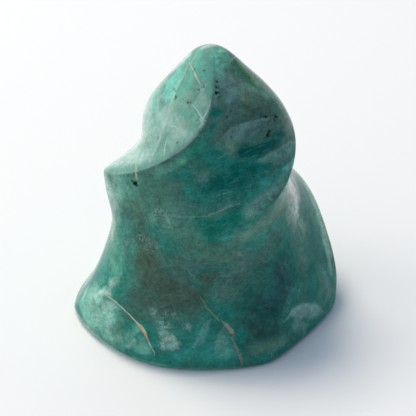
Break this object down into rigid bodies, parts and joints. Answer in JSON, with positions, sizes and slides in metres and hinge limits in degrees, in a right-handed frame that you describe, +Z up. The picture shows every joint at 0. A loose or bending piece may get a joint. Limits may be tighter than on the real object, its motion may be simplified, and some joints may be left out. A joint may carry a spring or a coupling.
{
  "type": "amazonite freeform",
  "caption": "Polished green amazonite freeform: a fat twisted flame with winding edges, a rounded tip and a wide foot with a rounded rim and a flat underside.",
  "frame": {"origin": "centre of the box around the stone, on the floor", "axes": "+Z up, from the flat underside to the tip; -Y is the front, as in the picture; +X is to the viewer's right"},
  "size_m": [0.0674, 0.0548, 0.0755],
  "materials": {
    "amazonite": "polished, glassy"
  },
  "bodies": {
    "root": {"stone": "amazonite"}
  },
  "joints": []
}
